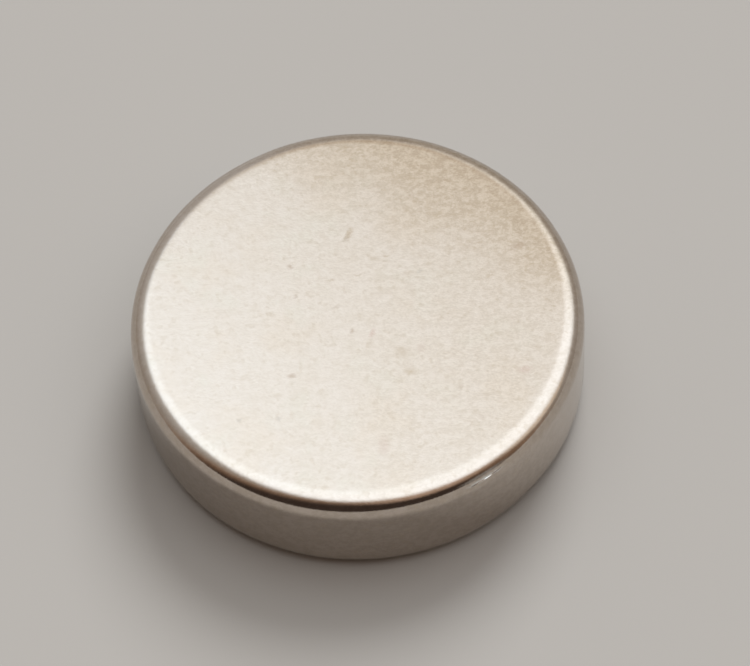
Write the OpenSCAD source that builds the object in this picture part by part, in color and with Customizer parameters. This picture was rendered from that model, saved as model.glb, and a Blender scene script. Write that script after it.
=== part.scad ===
// Disc magnet: one sintered disc, nickel plated all over, with tumbled edges.
// The base face lies on Z = 0, and the disc's axis is the Z axis.

/* [Disc] */
// Diameter over the round wall
disc_d = 12; // [5:0.1:40]
// Thickness from the base face to the top face
disc_h = 3; // [2:0.1:12]

/* [Edge] */
// Radius of the tumbled round between each flat face and the wall
edge_r = 0.5; // [0.1:0.05:0.9]

/* [Hidden] */
disc_r = disc_d / 2;
face_r = disc_r - edge_r;      // where the flat of each face ends
wall_h = disc_h - 2 * edge_r;  // height of the straight wall
round_z = [edge_r, edge_r + wall_h];  // heights of the two edge rounds' centres
disc_fn = 180;
round_fn = 96;

// Half of the disc's section, from its axis out to the wall
module disc_section() {
    square([face_r, disc_h]);
    translate([0, edge_r]) square([disc_r, wall_h]);
    for (z = round_z) translate([face_r, z]) circle(r = edge_r, $fn = round_fn);
}

// The whole disc: two flat faces, a straight wall and a round edge at each face
module magnet_disc() {
    color([0.80, 0.77, 0.73]) rotate_extrude($fn = disc_fn) disc_section();
}

magnet_disc();
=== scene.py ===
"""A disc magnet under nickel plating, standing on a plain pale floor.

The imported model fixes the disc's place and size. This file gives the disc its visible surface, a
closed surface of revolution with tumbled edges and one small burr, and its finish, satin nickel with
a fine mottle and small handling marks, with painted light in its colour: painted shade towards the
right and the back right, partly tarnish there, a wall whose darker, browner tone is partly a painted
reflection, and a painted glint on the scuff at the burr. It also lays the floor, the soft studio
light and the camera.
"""

import logging
import math
from dataclasses import dataclass
from enum import Enum

import bpy
import numpy as np
from mathutils import Matrix, Vector


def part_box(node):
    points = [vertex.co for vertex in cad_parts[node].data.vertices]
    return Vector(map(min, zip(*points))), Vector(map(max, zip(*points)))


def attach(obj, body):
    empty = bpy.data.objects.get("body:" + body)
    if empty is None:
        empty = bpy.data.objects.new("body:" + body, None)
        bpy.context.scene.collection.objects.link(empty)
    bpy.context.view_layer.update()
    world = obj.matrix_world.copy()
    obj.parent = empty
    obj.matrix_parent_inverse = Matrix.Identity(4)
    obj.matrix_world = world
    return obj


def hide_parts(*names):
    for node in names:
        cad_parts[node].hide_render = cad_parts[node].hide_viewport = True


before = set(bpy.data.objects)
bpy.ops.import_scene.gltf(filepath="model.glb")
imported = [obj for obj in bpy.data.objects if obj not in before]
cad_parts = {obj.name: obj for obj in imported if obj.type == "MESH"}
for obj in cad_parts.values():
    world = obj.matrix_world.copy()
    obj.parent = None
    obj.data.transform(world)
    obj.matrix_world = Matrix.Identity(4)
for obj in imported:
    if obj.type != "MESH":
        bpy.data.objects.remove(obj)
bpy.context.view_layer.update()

MM = 0.001
PER_MM = 1000.0
BODY = "root"
CAD_NODE = "magnet_disc"
FINISH_SLOT = "nickel_plating"

# A noise of scale 1 has lumps about this far across, in the unit of its own vector.
LUMP_AT_SCALE_ONE = 0.5

log = logging.getLogger("disc_magnet")

Colour = tuple[float, float, float]
Place = tuple[float, float, float]
Tree = bpy.types.NodeTree
Node = bpy.types.Node
Socket = bpy.types.NodeSocket

# What a node's input takes: another node's output, a number or a triple.
Feed = Socket | float | Place


def direction(azimuth: float, elevation: float) -> Place:
    """A unit vector by its azimuth, from +X towards +Y, and its elevation, both in degrees."""
    turn, rise = math.radians(azimuth), math.radians(elevation)
    return (math.cos(turn) * math.cos(rise), math.sin(turn) * math.cos(rise), math.sin(rise))


# ---------------------------------------------------------------------------------------------
# Shapes
# ---------------------------------------------------------------------------------------------


def graded(
    low: float,
    high: float,
    count: int,
    centre: float,
    reach: float,
    crowding: float,
) -> np.ndarray:
    """Stations from low to high that crowd together round one place.

    The spacing is the inverse of a density, 1 plus crowding times a bell round the centre. The
    density is summed from low to high, and the stations are where that sum passes equal steps.

    Args:
        low: the first station.
        high: the last station.
        count: how many stations.
        centre: the place that they crowd round.
        reach: the bell's width.
        crowding: how much denser they are at the centre.

    Returns:
        The stations, from low to high.
    """
    steps = 4000
    fine = np.linspace(low, high, steps + 1)
    density = 1.0 + crowding * np.exp(-(((fine - centre) / reach) ** 2))
    total = np.concatenate([[0.0], np.cumsum((density[1:] + density[:-1]) / 2.0)])
    return np.interp(np.linspace(0.0, total[-1], count), total, fine)


@dataclass
class TumbledEdge:
    """The shoulder between a flat face and the wall, worn round by tumbling.

    Its section is a superellipse, which leaves the face gently and turns faster towards the wall.
    Each wave in its depth is a count round the rim, a start in radians, and a strength.
    """

    depth: float = 0.62 * MM
    power: float = 2.4
    waviness: float = 0.025
    waves: tuple[tuple[int, float, float], ...] = (
        (3, 0.7, 0.5),
        (5, 2.4, 0.6),
        (11, 4.1, 0.35),
        (19, 1.3, 0.2),
    )

    def section(self, tilt: np.ndarray) -> tuple[np.ndarray, np.ndarray]:
        """How far out and up the section has gone where its normal leans by each tilt.

        A superellipse whose power is p has, at a tilt t, parts sin t and cos t to the power of
        1 / (p - 1), divided by the p-norm of the two.

        Args:
            tilt: the normal's lean from the face's own normal, in radians, 0 to a quarter turn.

        Returns:
            The outward and upward parts, each from 0 to 1.
        """
        out = np.sin(tilt) ** (1.0 / (self.power - 1.0))
        up = np.cos(tilt) ** (1.0 / (self.power - 1.0))
        norm = (out**self.power + up**self.power) ** (1.0 / self.power)
        return out / norm, up / norm

    def depths(self, turn: np.ndarray, phase: float) -> np.ndarray:
        """The shoulder's depth at each angle round the rim.

        It is the mean depth times 1 plus the waviness times a sum of slow sine waves.

        Args:
            turn: angles round the rim, in radians.
            phase: a shift of the waves, so that two shoulders don't match.

        Returns:
            The depth at each angle, in metres.
        """
        swell = sum(
            strength * np.sin(count * turn + start + phase)
            for count, start, strength in self.waves
        )
        return self.depth * (1.0 + self.waviness * swell)


@dataclass
class RimBurr:
    """A short, thin ridge along the rim, just above the wall, thrown up where the rim was knocked.

    Each ripple in its height is a length in metres, a start in radians, and a strength.
    """

    turn_deg: float = -60.0
    half_length: float = 0.40 * MM
    height: float = 2.665 * MM
    climb: float = 0.04
    half_width: float = 0.019 * MM
    stand: float = 0.022 * MM
    mean_share: float = 0.80
    ripples: tuple[tuple[float, float, float], ...] = (
        (0.061 * MM, 0.6, 0.14),
        (0.025 * MM, 2.0, 0.06),
    )

    def lift(self, turn: np.ndarray, rise: np.ndarray, radius: float) -> np.ndarray:
        """How far the surface stands proud at each point.

        The lift is a tent across the burr times a bell along it, made uneven by sine ripples. The
        burr climbs a little as it goes round.

        Args:
            turn: each point's angle round the axis, in radians.
            rise: each point's height, in metres.
            radius: the disc's radius, in metres.

        Returns:
            The lift at each point, in metres.
        """
        along = radius * (turn - math.radians(self.turn_deg))
        across = rise - self.height - self.climb * along
        bell = np.exp(-((along / self.half_length) ** 2))
        tent = np.maximum(0.0, 1.0 - np.abs(across) / self.half_width)
        ripple = sum(
            strength * np.sin(along / length + start)
            for length, start, strength in self.ripples
        )
        return self.stand * (self.mean_share + ripple) * bell * tent


@dataclass
class MagnetDisc:
    """The magnet's whole surface: two flat faces, two tumbled edges and the round wall.

    The upper shoulder's rings crowd round the tilt at which it turns fastest, and the points round
    the rim crowd round the burr.
    """

    radius: float
    height: float
    edge: TumbledEdge
    burr: RimBurr
    segments: int = 460
    face_rings: int = 14
    top_round_rings: int = 84
    low_round_rings: int = 28
    wall_rings: int = 12
    crowded_tilt_deg: float = 70.0
    tilt_reach_deg: float = 8.0
    tilt_crowding: float = 6.0
    burr_reach: float = 0.09
    burr_crowding: float = 5.0
    low_phase: float = 1.7
    name: str = "plated_disc"

    @classmethod
    def from_cad(cls, node: str) -> "MagnetDisc":
        """The disc that fills a CAD node's box.

        Args:
            node: the CAD node's name.

        Returns:
            The disc, with its own edge and burr.
        """
        low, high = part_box(node)
        return cls(
            radius=(high.x - low.x) / 2.0,
            height=high.z - low.z,
            edge=TumbledEdge(),
            burr=RimBurr(),
        )

    def _rings(self) -> tuple[np.ndarray, np.ndarray]:
        """The section's rings from the top face's middle to the base face's middle.

        Each ring's radius is A times the disc's radius plus B times the shoulder's depth, and its
        height is C times the disc's height plus D times the shoulder's depth. On a face A grows
        from the middle and B is minus A, on a shoulder B and D follow the section, and on the wall
        C and D run evenly from shoulder to shoulder.

        Returns:
            A table of A, B, C, D for each ring, and each ring's tilt in radians.
        """
        quarter = math.pi / 2.0
        reach = np.linspace(0.0, 1.0, self.face_rings + 1)[1:]
        top_tilt = graded(
            0.0,
            quarter,
            self.top_round_rings,
            math.radians(self.crowded_tilt_deg),
            math.radians(self.tilt_reach_deg),
            self.tilt_crowding,
        )[1:]
        low_tilt = np.linspace(0.0, quarter, self.low_round_rings)[1:]
        top_out, top_up = self.edge.section(top_tilt)
        low_out, low_up = self.edge.section(low_tilt)
        fall = np.linspace(1.0, -1.0, self.wall_rings)[1:-1]
        zero, one = np.zeros_like, np.ones_like
        top_face = np.stack([reach, -reach, one(reach), zero(reach)], 1)
        top_round = np.stack([one(top_out), top_out - 1.0, one(top_out), top_up - 1.0], 1)
        wall = np.stack([one(fall), zero(fall), (1.0 + fall) / 2.0, -fall], 1)
        low_round = np.stack([one(low_out), low_out - 1.0, zero(low_out), 1.0 - low_up], 1)[::-1]
        base_face = np.stack([reach, -reach, zero(reach), zero(reach)], 1)[::-1]
        table = np.concatenate([top_face, top_round, wall, low_round, base_face])
        lean = [
            zero(reach),
            top_tilt,
            np.full_like(fall, quarter),
            math.pi - low_tilt[::-1],
            np.full_like(reach, math.pi),
        ]
        return table, np.concatenate(lean)

    def surface(self) -> np.ndarray:
        """The disc's points on a grid of rings by angles.

        A point at a ring and an angle is that ring's radius and height turned by the angle about
        the Z axis, plus the burr's lift along the outward normal. The shoulders' depths are mixed
        by C, so each shoulder has its own and the wall runs evenly from one to the other.

        Returns:
            The grid of points, rings by segments by 3.
        """
        table, tilt = self._rings()
        knock = math.radians(self.burr.turn_deg)
        turn = graded(
            knock - math.pi,
            knock + math.pi,
            self.segments + 1,
            knock,
            self.burr_reach,
            self.burr_crowding,
        )[:-1]
        share = table[:, 2:3]
        top_depth = self.edge.depths(turn, 0.0)
        low_depth = self.edge.depths(turn, self.low_phase)
        depth = share * top_depth + (1.0 - share) * low_depth
        reach = table[:, 0:1] * self.radius + table[:, 1:2] * depth
        rise = table[:, 2:3] * self.height + table[:, 3:4] * depth
        lean = np.broadcast_to(tilt[:, None], reach.shape)
        lift = self.burr.lift(np.broadcast_to(turn, reach.shape), rise, self.radius)
        reach = reach + lift * np.sin(lean)
        rise = rise + lift * np.cos(lean)
        return np.stack([reach * np.cos(turn), reach * np.sin(turn), rise], -1)

    def build(self) -> bpy.types.Object:
        """Makes the closed mesh: quads between the rings, and a fan round each face's middle.

        Returns:
            The disc, which rides on its body in place of the CAD node.
        """
        grid = self.surface()
        rings, segments, _ = grid.shape
        points = np.concatenate([grid.reshape(-1, 3), [(0.0, 0.0, self.height), (0.0, 0.0, 0.0)]])
        here = np.arange(rings * segments).reshape(rings, segments)
        beside = np.roll(here, -1, axis=1)
        quads = np.stack([here[:-1], here[1:], beside[1:], beside[:-1]], -1).reshape(-1, 4)
        top = np.stack([np.full(segments, rings * segments), here[0], beside[0]], -1)
        base = np.stack([np.full(segments, rings * segments + 1), beside[-1], here[-1]], -1)
        mesh = bpy.data.meshes.new(self.name)
        mesh.from_pydata(points.tolist(), [], quads.tolist() + top.tolist() + base.tolist())
        mesh.shade_smooth()
        mesh.validate()
        disc = bpy.data.objects.new(self.name, mesh)
        bpy.context.scene.collection.objects.link(disc)
        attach(disc, BODY)
        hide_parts(CAD_NODE)
        log.info("%s: %d points, %d faces", self.name, len(mesh.vertices), len(mesh.polygons))
        return disc


# ---------------------------------------------------------------------------------------------
# Nodes
# ---------------------------------------------------------------------------------------------


class NodeBench:
    """Places nodes in one tree and joins them."""

    def __init__(self, tree: Tree) -> None:
        """Takes over a tree and clears it."""
        self.tree = tree
        tree.nodes.clear()

    def add(self, kind: str, **settings: object) -> Node:
        """Adds a node.

        Args:
            kind: the node's type.
            **settings: the node's own settings, by name.

        Returns:
            The node.
        """
        node = self.tree.nodes.new(kind)
        for setting, value in settings.items():
            setattr(node, setting, value)
        return node

    def feed(self, socket: Socket, value: Feed) -> None:
        """Joins a socket to another, or writes a plain value on it.

        Args:
            socket: the input to feed.
            value: an output socket, a number or a tuple.
        """
        if isinstance(value, Socket):
            self.tree.links.new(value, socket)
        elif socket.type == "RGBA" and isinstance(value, tuple):
            socket.default_value = (*value, 1.0)
        else:
            socket.default_value = value

    def math(self, operation: str, first: Feed, second: Feed, clamp: bool = False) -> Socket:
        """One step of arithmetic on two values.

        Args:
            operation: the step's name.
            first: the first value.
            second: the second value.
            clamp: whether the result is held between 0 and 1.

        Returns:
            The result.
        """
        node = self.add("ShaderNodeMath", operation=operation, use_clamp=clamp)
        self.feed(node.inputs[0], first)
        self.feed(node.inputs[1], second)
        return node.outputs[0]

    def vector(self, operation: str, first: Feed, second: Feed = (0.0, 0.0, 0.0)) -> Socket:
        """One step of arithmetic on vectors.

        Args:
            operation: the step's name.
            first: the first vector.
            second: the second vector, or the factor of a scaling. Other steps may do without it.

        Returns:
            The result, which is a value for a dot product or a length, and otherwise a vector.
        """
        node = self.add("ShaderNodeVectorMath", operation=operation)
        self.feed(node.inputs[0], first)
        self.feed(node.inputs["Scale" if operation == "SCALE" else 1], second)
        return node.outputs["Value" if operation in ("DOT_PRODUCT", "LENGTH") else "Vector"]

    def fade(
        self,
        value: Feed,
        low: Feed,
        high: Feed,
        to_low: float = 0.0,
        to_high: float = 1.0,
    ) -> Socket:
        """A smooth step of a value.

        Args:
            value: the value.
            low: where the step starts.
            high: where the step ends.
            to_low: the result at its start.
            to_high: the result at its end.

        Returns:
            The result.
        """
        node = self.add("ShaderNodeMapRange", interpolation_type="SMOOTHSTEP")
        for socket, part in zip(node.inputs, (value, low, high, to_low, to_high)):
            self.feed(socket, part)
        return node.outputs[0]

    def scaled(self, value: Feed, to_low: Feed, to_high: Feed) -> Socket:
        """A value from 0 to 1 stretched evenly over another range.

        Args:
            value: the value.
            to_low: the result where the value is 0.
            to_high: the result where the value is 1.

        Returns:
            The result.
        """
        node = self.add("ShaderNodeMapRange", clamp=False)
        for socket, part in zip(node.inputs, (value, 0.0, 1.0, to_low, to_high)):
            self.feed(socket, part)
        return node.outputs[0]

    def mix(self, share: Feed, first: Feed, second: Feed, blend: str = "MIX") -> Socket:
        """Two colours mixed by a share.

        Args:
            share: the second colour's share, from 0 to 1.
            first: the first colour.
            second: the second colour.
            blend: how the second is laid over the first.

        Returns:
            The mixed colour.
        """
        node = self.add("ShaderNodeMix", data_type="RGBA", blend_type=blend)
        # A colour mix has its factor at input 0, its colours at 6 and 7, and its result at output 2.
        self.feed(node.inputs[0], share)
        self.feed(node.inputs[6], first)
        self.feed(node.inputs[7], second)
        return node.outputs[2]

    def noise(self, vector: Feed, size: float, detail: float = 2.0, rough: float = 0.5) -> Socket:
        """Cloudy noise round one half.

        Args:
            vector: where the noise is read.
            size: how far across its lumps are, in the vector's own unit.
            detail: how many finer sizes are added to it.
            rough: how strong each finer size is beside the one before.

        Returns:
            The noise, from 0 to 1.
        """
        node = self.add("ShaderNodeTexNoise")
        self.feed(node.inputs["Vector"], vector)
        self.feed(node.inputs["Scale"], LUMP_AT_SCALE_ONE / size)
        self.feed(node.inputs["Detail"], detail)
        self.feed(node.inputs["Roughness"], rough)
        return node.outputs[0]

    def use(self, group: Tree, **inputs: Feed) -> Node:
        """Places a node group and feeds its inputs.

        Args:
            group: the group.
            **inputs: the inputs' values by name, with underscores for the names' spaces.

        Returns:
            The group's node.
        """
        node = self.add("ShaderNodeGroup", node_tree=group)
        for name, value in inputs.items():
            self.feed(node.inputs[name.replace("_", " ")], value)
        return node


def new_group(
    name: str,
    inputs: dict[str, str],
    outputs: dict[str, str],
) -> tuple[NodeBench, Node, Node]:
    """Starts a shader node group with named sockets.

    Args:
        name: the group's name.
        inputs: each input's name and kind, which is Float, Vector or Color.
        outputs: each output's name and kind.

    Returns:
        The bench for the group's tree, its input node and its output node.
    """
    tree = bpy.data.node_groups.new(name, "ShaderNodeTree")
    for label, kind in inputs.items():
        tree.interface.new_socket(label, in_out="INPUT", socket_type="NodeSocket" + kind)
    for label, kind in outputs.items():
        tree.interface.new_socket(label, in_out="OUTPUT", socket_type="NodeSocket" + kind)
    bench = NodeBench(tree)
    return bench, bench.add("NodeGroupInput"), bench.add("NodeGroupOutput")


def inner_zone_group() -> Tree:
    """A mask that is 1 within one distance from the Z axis and 0 beyond another.

    It is a smooth step of the distance.

    Returns:
        The group, which takes a place and the two distances and gives the mask.
    """
    bench, given, made = new_group(
        "inner_zone",
        {"Vector": "Vector", "Full To": "Float", "Gone By": "Float"},
        {"Mask": "Float"},
    )
    plan = bench.vector("MULTIPLY", given.outputs["Vector"], (1.0, 1.0, 0.0))
    reach = bench.vector("LENGTH", plan)
    mask = bench.fade(reach, given.outputs["Full To"], given.outputs["Gone By"], 1.0, 0.0)
    bench.feed(made.inputs["Mask"], mask)
    return bench.tree


def handling_mark_group() -> Tree:
    """One small mark: a soft ellipsoid, whose core is full and whose rim is gone.

    The place is moved to the mark's centre, turned and divided by its half sizes, and the mask
    falls from the strength to 0 as the length of that passes from Core to 1.

    Returns:
        The group, which takes a place and the mark's sizes and gives the mask.
    """
    bench, given, made = new_group(
        "handling_mark",
        {
            "Vector": "Vector",
            "Centre": "Vector",
            "Turn": "Vector",
            "Half Size": "Vector",
            "Core": "Float",
            "Strength": "Float",
        },
        {"Mask": "Float"},
    )
    place = bench.add("ShaderNodeMapping", vector_type="TEXTURE")
    bench.feed(place.inputs["Vector"], given.outputs["Vector"])
    bench.feed(place.inputs["Location"], given.outputs["Centre"])
    bench.feed(place.inputs["Rotation"], given.outputs["Turn"])
    bench.feed(place.inputs["Scale"], given.outputs["Half Size"])
    away = bench.vector("LENGTH", place.outputs[0])
    mask = bench.fade(away, given.outputs["Core"], 1.0, 1.0, 0.0)
    bench.feed(made.inputs["Mask"], bench.math("MULTIPLY", mask, given.outputs["Strength"]))
    return bench.tree


# ---------------------------------------------------------------------------------------------
# Finishes
# ---------------------------------------------------------------------------------------------


class Stain(Enum):
    """What a mark is made of, and the nickel's colour under it."""

    BROWN = (0.36, 0.24, 0.15)
    GREY = (0.46, 0.43, 0.39)
    OLIVE = (0.50, 0.405, 0.285)
    ROSE = (0.62, 0.50, 0.44)


@dataclass(frozen=True)
class Mark:
    """A small mark on the top face. Sizes are in millimetres and the turn is in degrees."""

    stain: Stain
    x: float
    y: float
    length: float
    width: float
    turn: float
    strength: float


MARKS = (
    Mark(Stain.OLIVE, -0.05, 2.45, 0.70, 0.26, 58.0, 0.60),
    Mark(Stain.GREY, -0.13, 2.33, 0.30, 0.20, 60.0, 0.36),
    Mark(Stain.BROWN, -1.80, -1.82, 0.42, 0.18, 0.0, 0.36),
    Mark(Stain.OLIVE, -2.25, 0.13, 0.36, 0.16, -8.0, 0.26),
    Mark(Stain.BROWN, -1.65, 1.56, 0.26, 0.23, 0.0, 0.42),
    Mark(Stain.BROWN, -1.57, 0.60, 0.24, 0.17, 20.0, 0.30),
    Mark(Stain.OLIVE, 0.10, 1.14, 0.28, 0.11, 0.0, 0.40),
    Mark(Stain.OLIVE, -0.60, 1.05, 0.40, 0.15, 0.0, 0.40),
    Mark(Stain.OLIVE, 0.90, 1.66, 0.28, 0.12, 0.0, 0.50),
    Mark(Stain.OLIVE, 0.60, 1.62, 0.52, 0.24, 0.0, 0.34),
    Mark(Stain.BROWN, -0.15, -0.58, 0.24, 0.17, 70.0, 0.35),
    Mark(Stain.BROWN, -0.52, 0.18, 0.34, 0.17, 0.0, 0.22),
    Mark(Stain.ROSE, 0.38, -0.72, 0.50, 0.22, 70.0, 0.60),
    Mark(Stain.OLIVE, 0.28, -1.02, 0.36, 0.24, 60.0, 0.29),
    Mark(Stain.OLIVE, 1.12, -1.38, 0.78, 0.60, -30.0, 0.31),
    Mark(Stain.OLIVE, 1.30, -1.97, 0.56, 0.40, 0.0, 0.40),
    Mark(Stain.ROSE, 1.62, -1.25, 0.45, 0.30, 60.0, 0.26),
    Mark(Stain.GREY, 1.75, 1.11, 0.24, 0.14, 25.0, 0.42),
    Mark(Stain.OLIVE, 3.60, 0.78, 0.42, 0.15, 12.0, 0.46),
    Mark(Stain.BROWN, 4.40, 1.66, 0.58, 0.32, 10.0, 0.36),
    Mark(Stain.ROSE, 4.24, -2.20, 0.55, 0.38, 0.0, 0.58),
    Mark(Stain.BROWN, 2.52, -2.58, 0.30, 0.24, 0.0, 0.13),
    Mark(Stain.BROWN, 3.02, -3.52, 0.28, 0.22, 0.0, 0.19),
    Mark(Stain.GREY, -3.22, -3.05, 0.26, 0.23, 0.0, 0.30),
    Mark(Stain.GREY, -2.22, -3.09, 0.26, 0.24, 0.0, 0.28),
    Mark(Stain.ROSE, 0.44, -4.15, 0.95, 0.48, 85.0, 0.34),
)


@dataclass(frozen=True)
class Cast:
    """A faint cloud of another colour in the plating. Sizes are in millimetres.

    The cloud is noise, smoothly stepped, and lies nowhere at more than its share.
    """

    colour: Colour
    lump: float
    shift: Place
    starts: float
    full: float
    share: float = 0.6
    detail: float = 3.0
    rough: float = 0.6

    def lay(self, bench: NodeBench, mm: Socket, colour: Feed) -> Socket:
        """Lays the cast over a colour.

        Args:
            bench: the material's bench.
            mm: the place in millimetres.
            colour: the colour under the cast.

        Returns:
            The colour with the cast in it.
        """
        shifted = bench.vector("ADD", mm, self.shift)
        cloud = bench.noise(shifted, self.lump, self.detail, self.rough)
        share = bench.fade(cloud, self.starts, self.full, 0.0, self.share)
        return bench.mix(share, colour, self.colour)


@dataclass(frozen=True)
class SideRamp:
    """A ramp across the disc towards one side, with a ragged front. Sizes are in millimetres.

    The distance towards the side, whose direction is counted from +X towards +Y in degrees, is
    shifted by noise and then smoothly stepped.
    """

    side_deg: float
    starts: float
    full: float
    lump: float
    ragged: float
    detail: float = 2.0
    rough: float = 0.6

    def ramp(self, bench: NodeBench, mm: Socket) -> Socket:
        """How aged each place is.

        Args:
            bench: the material's bench.
            mm: the place in millimetres.

        Returns:
            The ramp, from 0 to 1.
        """
        aside = bench.vector("DOT_PRODUCT", mm, direction(self.side_deg, 0.0))
        cloud = bench.noise(mm, self.lump, self.detail, self.rough)
        torn = bench.math("ADD", aside, bench.scaled(cloud, -self.ragged, self.ragged))
        return bench.fade(torn, self.starts, self.full)


@dataclass(frozen=True)
class Mottle:
    """The plating's fine mottle, drawn out a very little along X. Sizes are in millimetres."""

    stretch: Place = (0.85, 1.0, 1.0)
    rise: float = 0.0025
    lump: float = 0.115
    detail: float = 3.0
    rough: float = 0.9
    tone_from: float = 0.38
    tone_to: float = 0.62
    cloud: float = 0.55
    cloud_shift: Place = (3.0, 9.0, 0.0)
    speck: float = 0.075
    speck_detail: float = 1.0
    speck_shift: Place = (11.0, 5.0, 2.0)
    crowding: float = 0.09
    speck_from: float = 0.56
    speck_to: float = 0.72

    def group(self) -> Tree:
        """Makes the mottle's node group.

        One noise has lumps of a tenth of a millimetre and finer grain, each size about as strong as
        the next. Height is its rise in millimetres, and Tone is the same pattern from 0 to 1. Specks
        is 1 where a second noise peaks, and its peaks crowd where a slow cloud is high.

        Returns:
            The group, which takes a place, a stretch and a rise.
        """
        bench, given, made = new_group(
            "plating_grain",
            {"Vector": "Vector", "Stretch": "Vector", "Rise": "Float"},
            {"Height": "Float", "Tone": "Float", "Specks": "Float"},
        )
        drawn = bench.vector("MULTIPLY", given.outputs["Vector"], given.outputs["Stretch"])
        lumps = bench.noise(drawn, self.lump, self.detail, self.rough)
        bench.feed(made.inputs["Height"], bench.math("MULTIPLY", lumps, given.outputs["Rise"]))
        bench.feed(made.inputs["Tone"], bench.fade(lumps, self.tone_from, self.tone_to))
        aside = bench.vector("ADD", given.outputs["Vector"], self.cloud_shift)
        cloud = bench.noise(aside, self.cloud)
        drawn_aside = bench.vector("ADD", drawn, self.speck_shift)
        peaks = bench.noise(drawn_aside, self.speck, self.speck_detail)
        crowded = bench.math("ADD", peaks, bench.scaled(cloud, -self.crowding, self.crowding))
        bench.feed(made.inputs["Specks"], bench.fade(crowded, self.speck_from, self.speck_to))
        return bench.tree


@dataclass(frozen=True)
class RimScuffAndGlint:
    """The scuffed metal round the burr, with a painted glint in its bright bluish colour. Sizes are in
    millimetres.
    """

    # Painted glint: a bright bluish white, lighter than the nickel, stands in for light caught on the
    # scuffed burr.
    colour: Colour = (0.90, 0.95, 0.95)
    turn_deg: float = -60.0
    radius: float = 5.92
    height: float = 2.68
    half_size: Place = (0.74, 0.40, 0.07)
    core: float = 0.1
    strength: float = 0.85
    roughness: float = 0.14
    torn_lump: float = 0.05
    torn_rough: float = 0.7
    torn_by: float = 0.06

    def cover(self, bench: NodeBench, mm: Socket, mark: Tree) -> Socket:
        """How much scuff and painted glint lies at each place: a ragged, flattened ellipsoid that lies
        along the rim.

        Args:
            bench: the material's bench.
            mm: the place in millimetres.
            mark: the node group that draws one mark.

        Returns:
            The share of scuffed metal and its painted glint, from 0 to 1.
        """
        turn = math.radians(self.turn_deg)
        cloud = bench.noise(mm, self.torn_lump, rough=self.torn_rough)
        shift = bench.add("ShaderNodeCombineXYZ")
        bench.feed(shift.inputs["Z"], bench.scaled(cloud, -self.torn_by, self.torn_by))
        spot = bench.use(
            mark,
            Vector=bench.vector("ADD", mm, shift.outputs[0]),
            Centre=(self.radius * math.cos(turn), self.radius * math.sin(turn), self.height),
            Turn=(0.0, 0.0, turn + math.pi / 2.0),
            Half_Size=self.half_size,
            Core=self.core,
            Strength=self.strength,
        )
        return spot.outputs["Mask"]


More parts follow.
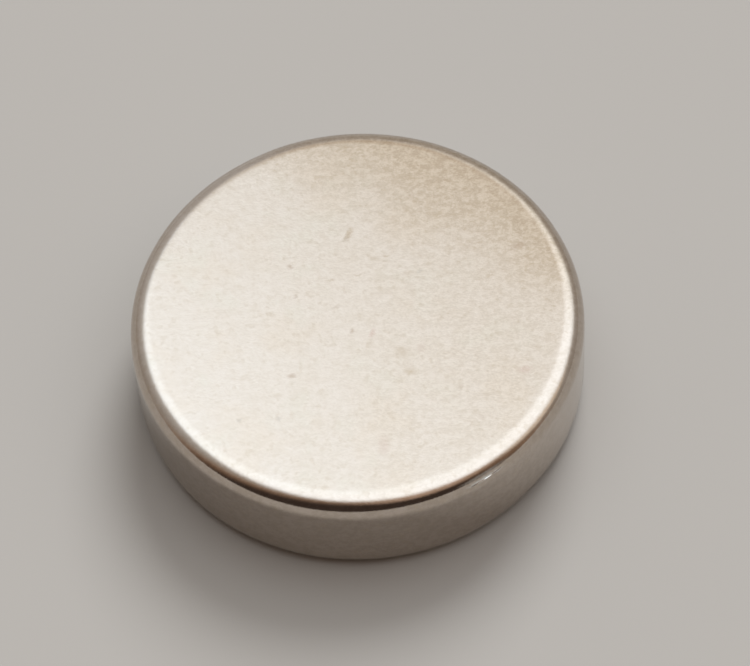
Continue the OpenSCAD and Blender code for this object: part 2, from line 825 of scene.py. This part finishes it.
@dataclass(frozen=True)
class NickelPlating:
    """Satin nickel: a fine mottle, painted shade at one side that is partly tarnish, marks on the top
    face and a scuff on the rim with a painted glint.

    Sizes are in millimetres. The face's roughness gives way to the shoulder's between face_ends and
    round_starts, and the wall's tone, a duller finish with a painted reflection in it, comes in between
    wall_tone_from and wall_tone_to, all counted from the disc's axis. The marks fade in between the
    heights marks_from and marks_to.
    """

    colour: Colour = (0.785, 0.742, 0.698)
    casts: tuple[Cast, ...] = (
        Cast((0.775, 0.715, 0.648), 1.1, (0.0, 0.0, 0.0), 0.48, 0.68),
        Cast((0.768, 0.745, 0.69), 0.8, (7.0, 3.0, 0.0), 0.5, 0.7),
    )
    # Painted shade, partly tarnish: a tan ramp darkens and warms the face towards the back right,
    # standing in for its darker, warmer reflection there.
    tarnish_and_shade_colour: Colour = (0.69, 0.61, 0.512)
    tarnish_and_shade: SideRamp = SideRamp(54.0, 2.0, 5.4, 1.3, 1.0)
    tarnish_and_shade_share: float = 0.82
    tarnish_and_shade_weight: float = 1.2
    # Painted shade: a warm ramp darkens the face gently towards the right, standing in for its dimmer
    # reflection there.
    right_shade: SideRamp = SideRamp(-15.0, -5.0, 6.0, 0.5, 5.0)
    right_shade_share: float = 0.29
    right_shade_weight: float = 0.25
    # The wall's darker, browner colour is partly its duller finish and partly a painted reflection of a
    # dark brown surround mirrored in the wall.
    wall_tone_and_reflection: Colour = (0.56, 0.495, 0.435)
    wall_wear: float = 0.65
    face_ends: float = 5.15
    round_starts: float = 5.45
    wall_tone_from: float = 5.66
    wall_tone_to: float = 5.86
    face_roughness: float = 0.205
    round_roughness: float = 0.23
    wall_roughness: float = 0.13
    tone_roughness: float = 0.02
    mark_roughness: float = 0.15
    mottle: Mottle = Mottle()
    grain_light: Colour = (1.02, 1.02, 1.02)
    grain_dark: Colour = (0.977, 0.968, 0.953)
    worn_and_shaded_grain_dark: Colour = (0.862, 0.842, 0.812)
    speck: Colour = (0.58, 0.495, 0.385)
    speck_share: float = 0.17
    worn_and_shaded_speck_share: float = 0.38
    marks: tuple[Mark, ...] = MARKS
    marks_from: float = 2.0
    marks_to: float = 2.8
    fray_scale: float = 9.0
    fray_by: float = 0.16
    scuff_and_glint: RimScuffAndGlint = RimScuffAndGlint()

    def _aged(self, bench: NodeBench, mm: Socket, inner: Socket) -> tuple[Socket, Socket]:
        """The plating's colour under its mottle, with its casts, its painted shade, partly tarnish, and
        the wall's tone with its painted reflection.

        Args:
            bench: the material's bench.
            mm: the place in millimetres.
            inner: 1 on the faces and most of each shoulder, 0 on the wall and next to it.

        Returns:
            The colour, and a weight for each place's wear and painted shade.
        """
        colour: Feed = self.colour
        for cast in self.casts:
            colour = cast.lay(bench, mm, colour)
        # Painted shade: the tan ramps darken and warm the face towards the back right, where it is
        # partly tarnish, and towards the right.
        tarnished_and_shaded = bench.math("MULTIPLY", self.tarnish_and_shade.ramp(bench, mm), self.tarnish_and_shade_share)
        right_shaded = self.right_shade.ramp(bench, mm)
        wear_and_shade = bench.math(
            "ADD",
            bench.math("MULTIPLY", tarnished_and_shaded, self.tarnish_and_shade_weight),
            bench.math("MULTIPLY", right_shaded, self.right_shade_weight),
        )
        right_shade = bench.math("MULTIPLY", right_shaded, self.right_shade_share)
        tanned = bench.math("ADD", tarnished_and_shaded, right_shade, clamp=True)
        colour = bench.mix(tanned, colour, self.tarnish_and_shade_colour)
        # The wall's colour carries a painted reflection as well as its duller finish.
        return bench.mix(inner, self.wall_tone_and_reflection, colour), bench.scaled(inner, self.wall_wear, wear_and_shade)

    def _mottled(self, bench: NodeBench, colour: Socket, wear_and_shade: Socket, grain: Node) -> Socket:
        """Lays the mottle and its specks over a colour, more strongly where the plating is worn and
        where shade is painted.

        Args:
            bench: the material's bench.
            colour: the plating's colour.
            wear_and_shade: how worn each place is, and how much painted shade lies there.
            grain: the mottle's node.

        Returns:
            The mottled colour.
        """
        # The weight carries wear and painted shade: where it is high, the mottle's dark tone darkens and
        # specks crowd.
        dark = bench.mix(wear_and_shade, self.grain_dark, self.worn_and_shaded_grain_dark)
        tones = bench.mix(grain.outputs["Tone"], dark, self.grain_light)
        colour = bench.mix(1.0, colour, tones, "MULTIPLY")
        share = bench.scaled(wear_and_shade, self.speck_share, self.worn_and_shaded_speck_share)
        return bench.mix(bench.math("MULTIPLY", grain.outputs["Specks"], share), colour, self.speck)

    def _marked(self, bench: NodeBench, mm: Socket, colour: Socket, mark: Tree) -> tuple[Socket, Socket]:
        """Lays every mark over a colour, on the top face only, with frayed outlines.

        Args:
            bench: the material's bench.
            mm: the place in millimetres.
            colour: the plating's own colour.
            mark: the node group that draws one mark.

        Returns:
            The marked colour, and how marked each place is.
        """
        fray = bench.add("ShaderNodeTexNoise")
        bench.feed(fray.inputs["Vector"], mm)
        bench.feed(fray.inputs["Scale"], self.fray_scale)
        # The noise's three parts lie round one half.
        centred = bench.vector("SUBTRACT", fray.outputs["Color"], (0.5, 0.5, 0.5))
        wandering = bench.vector("ADD", mm, bench.vector("SCALE", centred, self.fray_by))
        plan = bench.vector("MULTIPLY", wandering, (1.0, 1.0, 0.0))
        height = bench.vector("DOT_PRODUCT", mm, (0.0, 0.0, 1.0))
        on_top = bench.fade(height, self.marks_from, self.marks_to)
        marked: Feed = 0.0
        for stain in Stain:
            cover: Feed = 0.0
            for spot in (one for one in self.marks if one.stain is stain):
                drawn = bench.use(
                    mark,
                    Vector=plan,
                    Centre=(spot.x, spot.y, 0.0),
                    Turn=(0.0, 0.0, math.radians(spot.turn)),
                    Half_Size=(spot.length / 2.0, spot.width / 2.0, 1.0),
                    Core=0.0,
                    Strength=spot.strength,
                )
                cover = bench.math("MAXIMUM", drawn.outputs["Mask"], cover)
            cover = bench.math("MULTIPLY", cover, on_top)
            colour = bench.mix(cover, colour, stain.value)
            marked = bench.math("MAXIMUM", cover, marked)
        return colour, marked

    def _satin(
        self,
        bench: NodeBench,
        flat: Socket,
        inner: Socket,
        tone: Socket,
        marked: Socket,
    ) -> Socket:
        """The plating's roughness: one for the faces, one for the shoulders and one for the wall.

        Args:
            bench: the material's bench.
            flat: 1 on the flat faces, 0 elsewhere.
            inner: 1 on the faces and most of each shoulder, 0 on the wall and next to it.
            tone: the mottle, which shifts the faces' roughness a little.
            marked: how marked each place is, which adds to it.

        Returns:
            The roughness.
        """
        beyond = bench.scaled(inner, self.wall_roughness, self.round_roughness)
        satin = bench.scaled(flat, beyond, self.face_roughness)
        shift = bench.scaled(tone, -self.tone_roughness, self.tone_roughness)
        satin = bench.math("ADD", satin, bench.math("MULTIPLY", shift, flat))
        return bench.math("ADD", satin, bench.math("MULTIPLY", marked, self.mark_roughness))

    def build(self) -> bpy.types.Material:
        """Makes the material.

        Returns:
            The material: plain metal with a colour, a roughness and a bump.
        """
        material = bpy.data.materials.new(FINISH_SLOT)
        material.use_nodes = True
        bench = NodeBench(material.node_tree)
        mm = bench.vector("SCALE", bench.add("ShaderNodeTexCoord").outputs["Object"], PER_MM)
        zone, mark = inner_zone_group(), handling_mark_group()
        face = bench.use(zone, Vector=mm, Full_To=self.face_ends, Gone_By=self.round_starts)
        upper = bench.use(zone, Vector=mm, Full_To=self.wall_tone_from, Gone_By=self.wall_tone_to)
        flat, inner = face.outputs["Mask"], upper.outputs["Mask"]
        grain = bench.use(
            self.mottle.group(),
            Vector=mm,
            Stretch=self.mottle.stretch,
            Rise=self.mottle.rise,
        )
        colour, wear_and_shade = self._aged(bench, mm, inner)
        colour = self._mottled(bench, colour, wear_and_shade, grain)
        colour, marked = self._marked(bench, mm, colour, mark)
        satin = self._satin(bench, flat, inner, grain.outputs["Tone"], marked)
        scuff_and_glint_share = self.scuff_and_glint.cover(bench, mm, mark)
        # Painted glint: the scuff's bright bluish colour over the nickel round the burr.
        colour = bench.mix(scuff_and_glint_share, colour, self.scuff_and_glint.colour)
        satin = bench.math("ADD", satin, bench.math("MULTIPLY", scuff_and_glint_share, self.scuff_and_glint.roughness))
        # The mottle's height is in millimetres, so the bump's distance is one millimetre.
        bump = bench.add("ShaderNodeBump")
        bench.feed(bump.inputs["Height"], grain.outputs["Height"])
        bench.feed(bump.inputs["Strength"], 1.0)
        bench.feed(bump.inputs["Distance"], MM)
        shader = bench.add("ShaderNodeBsdfPrincipled")
        bench.feed(shader.inputs["Base Color"], colour)
        bench.feed(shader.inputs["Metallic"], 1.0)
        bench.feed(shader.inputs["Roughness"], satin)
        bench.feed(shader.inputs["Normal"], bump.outputs[0])
        bench.feed(bench.add("ShaderNodeOutputMaterial").inputs["Surface"], shader.outputs[0])
        return material


@dataclass(frozen=True)
class FloorPaint:
    """Pale matt paint with a very faint cloud in it, whose size is in millimetres."""

    colour: Colour = (0.43, 0.412, 0.39)
    cloud: Colour = (0.415, 0.397, 0.375)
    cloud_size: float = 12.0

    def build(self) -> bpy.types.Material:
        """Makes the material.

        Returns:
            The material, which is plain matt.
        """
        material = bpy.data.materials.new("floor_paint")
        material.use_nodes = True
        bench = NodeBench(material.node_tree)
        mm = bench.vector("SCALE", bench.add("ShaderNodeTexCoord").outputs["Object"], PER_MM)
        cloudy = bench.mix(bench.noise(mm, self.cloud_size), self.colour, self.cloud)
        shader = bench.add("ShaderNodeBsdfDiffuse")
        bench.feed(shader.inputs["Color"], cloudy)
        bench.feed(bench.add("ShaderNodeOutputMaterial").inputs["Surface"], shader.outputs[0])
        return material


# ---------------------------------------------------------------------------------------------
# Stage
# ---------------------------------------------------------------------------------------------


@dataclass
class Floor:
    """The plain floor that the disc stands on."""

    half_side: float = 1.2
    drop: float = 0.002 * MM

    def build(self, paint: FloorPaint) -> bpy.types.Object:
        """Lays the floor just under the disc's base face.

        Args:
            paint: the floor's finish.

        Returns:
            The floor.
        """
        side = self.half_side
        mesh = bpy.data.meshes.new("floor")
        plan = ((-side, -side), (side, -side), (side, side), (-side, side))
        mesh.from_pydata([(x, y, -self.drop) for x, y in plan], [], [(0, 1, 2, 3)])
        floor = bpy.data.objects.new("floor", mesh)
        bpy.context.scene.collection.objects.link(floor)
        mesh.materials.append(paint.build())
        return floor


@dataclass(frozen=True)
class SkyPatch:
    """A soft round patch of light or shade in the studio's surroundings.

    The azimuth is counted from +X towards +Y and the elevation from the floor, both in degrees. The
    patch is full inside its inner radius and gone outside its outer radius, in degrees too.
    """

    azimuth: float
    elevation: float
    inner: float
    outer: float
    radiance: Colour


@dataclass(frozen=True)
class Studio:
    """Soft light from all round: a broad bright panel overhead, and a dark screen at the front.

    The horizon carries the floor's tone, so that the two meet without a seam. Its colour is full
    below one rise and gone above another, where a rise is the sine of the elevation.
    """

    surround: Colour = (0.400, 0.362, 0.328)
    horizon: Colour = (0.489, 0.4645, 0.4352)
    horizon_full: float = 0.045
    horizon_gone: float = 0.085
    patches: tuple[SkyPatch, ...] = (
        # A dark screen low at the front: its warm rim, then the screen itself.
        SkyPatch(-94.0, -14.5, 70.0, 99.0, (0.31, 0.20, 0.135)),
        SkyPatch(-98.0, -14.5, 52.0, 82.0, (0.058, 0.041, 0.034)),
        # Three dim cards: one high up and one low down at the right front, and one at the right.
        SkyPatch(-56.0, 56.0, 3.0, 28.0, (0.54, 0.39, 0.30)),
        SkyPatch(-45.0, 11.0, 3.0, 12.5, (0.335, 0.325, 0.315)),
        SkyPatch(-5.0, 39.0, 8.0, 22.0, (0.86, 0.75, 0.64)),
        # The broad panel overhead.
        SkyPatch(50.0, 71.5, 28.0, 48.0, (1.32, 1.34, 1.36)),
        # A small panel at the back, a dim gap below it, and a panel at the left back.
        SkyPatch(91.0, 56.0, 5.5, 13.0, (1.23, 1.21, 1.18)),
        SkyPatch(92.0, 49.5, 1.0, 17.0, (0.56, 0.45, 0.33)),
        SkyPatch(123.0, 62.5, 3.5, 25.0, (1.31, 1.36, 1.38)),
    )

    def build(self) -> None:
        """Paints the surroundings by direction: each patch is mixed over those before it."""
        world = bpy.data.worlds.new("soft_studio")
        bpy.context.scene.world = world
        world.use_nodes = True
        bench = NodeBench(world.node_tree)
        toward = bench.vector("NORMALIZE", bench.add("ShaderNodeTexCoord").outputs["Generated"])
        light: Feed = self.surround
        for patch in self.patches:
            near = bench.vector("DOT_PRODUCT", toward, direction(patch.azimuth, patch.elevation))
            gone_at, full_at = (math.cos(math.radians(reach)) for reach in (patch.outer, patch.inner))
            light = bench.mix(bench.fade(near, gone_at, full_at), light, patch.radiance)
        rise = bench.vector("DOT_PRODUCT", toward, (0.0, 0.0, 1.0))
        low_down = bench.fade(rise, self.horizon_full, self.horizon_gone, 1.0, 0.0)
        light = bench.mix(low_down, light, self.horizon)
        background = bench.add("ShaderNodeBackground")
        bench.feed(background.inputs["Color"], light)
        bench.feed(bench.add("ShaderNodeOutputWorld").inputs["Surface"], background.outputs[0])


@dataclass(frozen=True)
class KeyLamp:
    """A broad lamp behind the disc that lights the floor and lays the disc's soft shadow forwards.

    It is left out of reflections, where the studio's own patches stand for it. Its angles and its
    spread are in degrees.
    """

    azimuth: float = 70.0
    elevation: float = 42.0
    distance: float = 0.5
    spread: float = 30.0
    strength: float = 2.3
    colour: Colour = (0.95, 0.98, 1.0)

    def build(self) -> bpy.types.Object:
        """Hangs the lamp, aimed along its own -Z at the disc.

        Returns:
            The lamp.
        """
        data = bpy.data.lights.new("key_lamp", "SUN")
        data.energy = self.strength
        data.color = self.colour
        data.angle = math.radians(self.spread)
        lamp = bpy.data.objects.new("key_lamp", data)
        bpy.context.scene.collection.objects.link(lamp)
        toward = Vector(direction(self.azimuth, self.elevation))
        turned = toward.to_track_quat("Z", "Y").to_matrix().to_4x4()
        lamp.matrix_world = Matrix.Translation(toward * self.distance) @ turned
        lamp.visible_glossy = False
        return lamp


@dataclass(frozen=True)
class LongLensCamera:
    """A long lens that looks down on the disc from the front."""

    stand: Place = (0.447 * MM, -50.635 * MM, 81.252 * MM)
    aim: Place = (0.447 * MM, 1.201 * MM, 0.0)
    roll_deg: float = -4.6
    lens: float = 170.3
    sensor: float = 36.0
    clip_near: float = 0.005
    clip_far: float = 10.0

    def build(self) -> bpy.types.Object:
        """Sets the camera up: aimed, then rolled about its own axis.

        Returns:
            The camera, which is the scene's own.
        """
        data = bpy.data.cameras.new("long_lens")
        data.lens = self.lens
        data.sensor_width = self.sensor
        data.clip_start = self.clip_near
        data.clip_end = self.clip_far
        camera = bpy.data.objects.new("long_lens", data)
        bpy.context.scene.collection.objects.link(camera)
        aimed = (Vector(self.aim) - Vector(self.stand)).to_track_quat("-Z", "Y").to_matrix().to_4x4()
        roll = Matrix.Rotation(math.radians(self.roll_deg), 4, "Z")
        camera.matrix_world = Matrix.Translation(self.stand) @ aimed @ roll
        bpy.context.scene.camera = camera
        return camera


def main() -> None:
    """Builds the stage and the magnet."""
    logging.basicConfig(level=logging.INFO, format="%(name)s: %(message)s")
    bpy.context.scene.view_settings.view_transform = "Standard"
    LongLensCamera().build()
    Studio().build()
    KeyLamp().build()
    Floor().build(FloorPaint())
    disc = MagnetDisc.from_cad(CAD_NODE).build()
    disc.data.materials.append(NickelPlating().build())
    log.info("piece %s finished in %s", disc.name, FINISH_SLOT)


if __name__ == "__main__":
    main()
